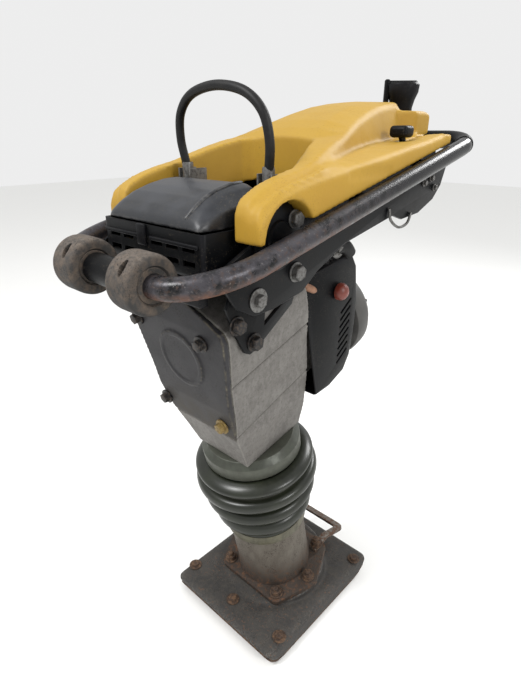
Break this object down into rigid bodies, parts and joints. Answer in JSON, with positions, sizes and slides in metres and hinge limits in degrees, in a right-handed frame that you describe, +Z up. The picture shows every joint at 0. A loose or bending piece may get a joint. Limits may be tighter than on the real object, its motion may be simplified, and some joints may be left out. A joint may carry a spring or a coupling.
{
  "type": "jumping jack rammer",
  "caption": "Engine-driven upright tamping rammer with a sprung ram foot, rubber bellows, crankcase, tubular guide handle, saddle fuel tank and front rollers.",
  "frame": {"origin": "centre of the flat underside of the sole, on the ground", "axes": "+Z up, -Y forward (roller end), +Y towards the operator, +X to the side with the throttle lever"},
  "size_m": [0.3347, 0.6745, 0.9753],
  "materials": {
    "worn_steel": "worn, rusty",
    "shoe_composite": "worn dark composite",
    "cast_alloy": "dusty sand cast",
    "machined_steel": "machined, oiled",
    "bellows_rubber": "olive rubber, slight sheen",
    "muffler_steel": "zinc plated",
    "black_plastic": "moulded black, dusty",
    "primer_rubber": "red-brown rubber",
    "mount_rubber": "black rubber, worn",
    "black_paint": "black powder coat, chipped",
    "yellow_plastic": "yellow moulded polyethylene, dirty"
  },
  "bodies": {
    "foot": {"sole_plate": "worn_steel", "shoe": "shoe_composite", "plow_bolt_1": "worn_steel", "plow_bolt_2": "worn_steel", "plow_bolt_3": "worn_steel", "plow_bolt_4": "worn_steel", "plow_bolt_5": "worn_steel", "ram_cylinder": "cast_alloy", "flange_nut_1": "worn_steel", "flange_nut_2": "worn_steel", "flange_nut_3": "worn_steel", "flange_nut_4": "worn_steel", "flange_nut_5": "worn_steel", "flange_nut_6": "worn_steel", "tow_loop": "worn_steel", "ram_cap": "machined_steel", "spring_lower": "machined_steel", "spring_upper": "machined_steel", "bellows": "bellows_rubber"},
    "piston": {"ram_piston": "machined_steel"},
    "upper": {"guide_ring": "cast_alloy", "crankcase": "cast_alloy", "front_cover": "cast_alloy", "cover_bolt_1": "worn_steel", "cover_bolt_2": "worn_steel", "cover_bolt_3": "worn_steel", "cover_bolt_4": "worn_steel", "engine_block": "cast_alloy", "engine_shroud": "black_plastic", "starter_housing": "cast_alloy", "muffler": "muffler_steel", "mount_bracket_right": "black_paint", "mount_bracket_left": "black_paint", "rubber_mount_right": "mount_rubber", "rubber_mount_left": "mount_rubber"},
    "crank": {"crank_gear": "machined_steel"},
    "rod": {"connecting_rod": "machined_steel"},
    "pinion": {"clutch_pinion": "machined_steel"},
    "starter_handle": {"starter_grip": "black_plastic"},
    "primer": {"primer_bulb": "primer_rubber"},
    "handle": {"handle_tube": "black_paint", "side_plate_right": "black_paint", "side_plate_left": "black_paint", "fuel_tank": "yellow_plastic", "console": "black_plastic", "filter_box": "black_plastic", "filter_lid": "black_plastic", "lift_bracket": "muffler_steel"},
    "front_roller_right": {"roller_right": "mount_rubber"},
    "front_roller_left": {"roller_left": "mount_rubber"},
    "throttle": {"throttle_lever": "black_plastic"},
    "tank_cap": {"fuel_cap": "black_plastic"},
    "bail": {"lifting_bail": "mount_rubber"}
  },
  "joints": [
    {"name": "ram_slide", "type": "slide", "parent": "foot", "child": "upper", "axis": [0, -0.2011, 0.9796], "range_m": [0, 0.065], "deforming": ["bellows"]},
    {"name": "piston_slide", "type": "slide", "parent": "foot", "child": "piston", "axis": [0, -0.2011, 0.9796], "range_m": [-0.012, 0.012], "stiffness_N_per_m": 60000, "deforming": ["spring_lower", "spring_upper"]},
    {"name": "crank_spin", "type": "hinge", "parent": "upper", "child": "crank", "pos_m": [0, -0.10963, 0.61405], "axis": [0, 0.9796, 0.2011], "continuous": true},
    {"name": "rod_swing", "type": "hinge", "parent": "crank", "child": "rod", "pos_m": [0, -0.1031, 0.58222], "axis": [0, 0.9796, 0.2011], "continuous": true},
    {"name": "pinion_spin", "type": "hinge", "parent": "upper", "child": "pinion", "pos_m": [0, -0.09395, 0.53765], "axis": [0, 0.9796, 0.2011], "continuous": true},
    {"name": "starter_pull", "type": "slide", "parent": "upper", "child": "starter_handle", "axis": [0, 0.9796, 0.2011], "range_m": [0, 0.3], "stiffness_N_per_m": 20},
    {"name": "primer_press", "type": "slide", "parent": "upper", "child": "primer", "axis": [-1, 0, 0], "range_m": [0, 0.003], "stiffness_N_per_m": 600},
    {"name": "handle_rock", "type": "hinge", "parent": "upper", "child": "handle", "pos_m": [0, -0.178, 0.709], "axis": [1, 0, 0], "range_deg": [-2.5, 2.5], "stiffness_Nm_per_rad": 6000},
    {"name": "roller_spin_right", "type": "hinge", "parent": "handle", "child": "front_roller_right", "pos_m": [0.06, -0.294, 0.74272], "axis": [1, 0, 0], "continuous": true},
    {"name": "roller_spin_left", "type": "hinge", "parent": "handle", "child": "front_roller_left", "pos_m": [-0.06, -0.294, 0.74272], "axis": [1, 0, 0], "continuous": true},
    {"name": "throttle_swing", "type": "hinge", "parent": "handle", "child": "throttle", "pos_m": [0.106, 0.205, 0.79], "axis": [-1, 0, 0], "range_deg": [0, 18]},
    {"name": "fuel_cap_turn", "type": "hinge", "parent": "handle", "child": "tank_cap", "pos_m": [0.036, 0.28, 0.925], "axis": [0, 0, 1], "range_deg": [0, 90]},
    {"name": "bail_tilt", "type": "hinge", "parent": "handle", "child": "bail", "pos_m": [0, -0.11, 0.836], "axis": [1, 0, 0], "range_deg": [-15, 20]}
  ],
  "couplings": [
    {"joint": "rod_swing", "follows": "crank_spin", "ratio": -1},
    {"joint": "pinion_spin", "follows": "crank_spin", "ratio": -3.875}
  ]
}
